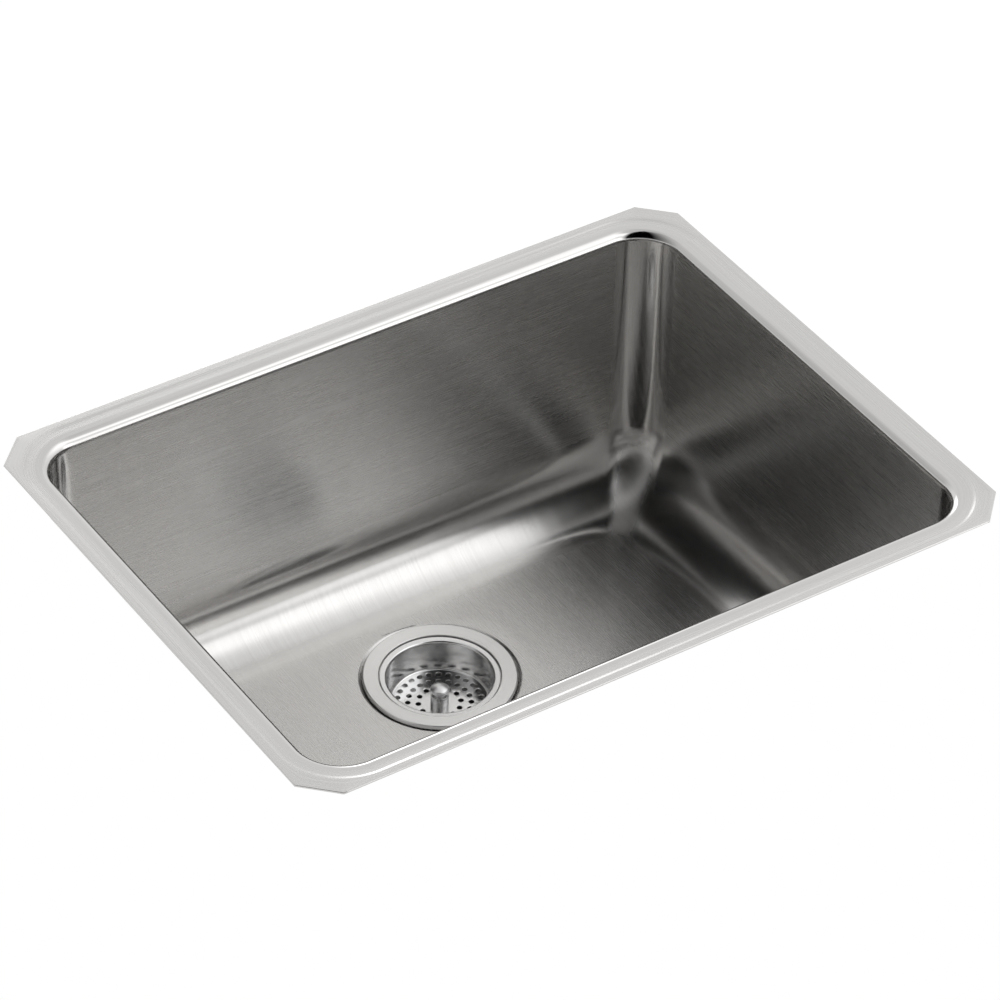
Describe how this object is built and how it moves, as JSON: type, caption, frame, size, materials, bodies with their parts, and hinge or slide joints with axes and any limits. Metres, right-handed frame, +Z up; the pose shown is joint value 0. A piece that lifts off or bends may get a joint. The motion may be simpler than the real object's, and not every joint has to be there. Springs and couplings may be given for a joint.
{
  "type": "undermount kitchen sink",
  "caption": "Deep single-bowl stainless undermount sink with rolled rim and cut-corner flange, lift-out basket strainer in the floor, flanged waste tailpiece and sound pads.",
  "frame": {"origin": "centre of the flange's top plane, which goes up against the underside of the worktop", "axes": "+Z up out of the bowl, +X to the bowl's right (its long side), +Y to the back, where the drain is"},
  "size_m": [0.5842, 0.4444, 0.4107],
  "materials": {
    "bowl_steel": "brushed stainless, polished roll and corners",
    "strainer_steel": "satin stainless flange",
    "basket_steel": "polished stainless",
    "knob_chrome": "polished chrome",
    "turned_steel": "turned stainless",
    "cast_nut": "nickel-plated casting",
    "black_rubber": "matt black rubber",
    "pad_rubber": "dark grey sound-deadening rubber",
    "fibre": "pressed fibre",
    "white_nylon": "white nylon",
    "waste_steel": "chrome-plated tube"
  },
  "bodies": {
    "sink": {"sink_bowl": "bowl_steel", "flange_gasket": "black_rubber", "strainer_body": "strainer_steel", "strainer_crossbar": "turned_steel", "rubber_washer": "black_rubber", "friction_ring": "fibre", "strainer_locknut": "cast_nut", "tailpiece_washer": "white_nylon", "tailpiece": "waste_steel", "coupling_nut": "cast_nut", "pad_front": "pad_rubber", "pad_rear": "pad_rubber", "pad_left": "pad_rubber", "pad_right": "pad_rubber", "pad_bottom_left": "pad_rubber", "pad_bottom_right": "pad_rubber"},
    "post_clip": {"snap_clip": "turned_steel"},
    "basket": {"basket_cup": "basket_steel", "basket_post": "turned_steel", "basket_knob": "knob_chrome", "post_spacer": "turned_steel", "basket_stopper": "black_rubber", "stopper_washer": "turned_steel", "post_nut": "turned_steel"}
  },
  "joints": [
    {"name": "basket_lift", "type": "slide", "parent": "sink", "child": "post_clip", "axis": [0, 0, 1], "range_m": [0, 0.075]},
    {"name": "basket_spin", "type": "hinge", "parent": "post_clip", "child": "basket", "pos_m": [0, 0.073, -0.25], "axis": [0, 0, 1], "continuous": true}
  ]
}
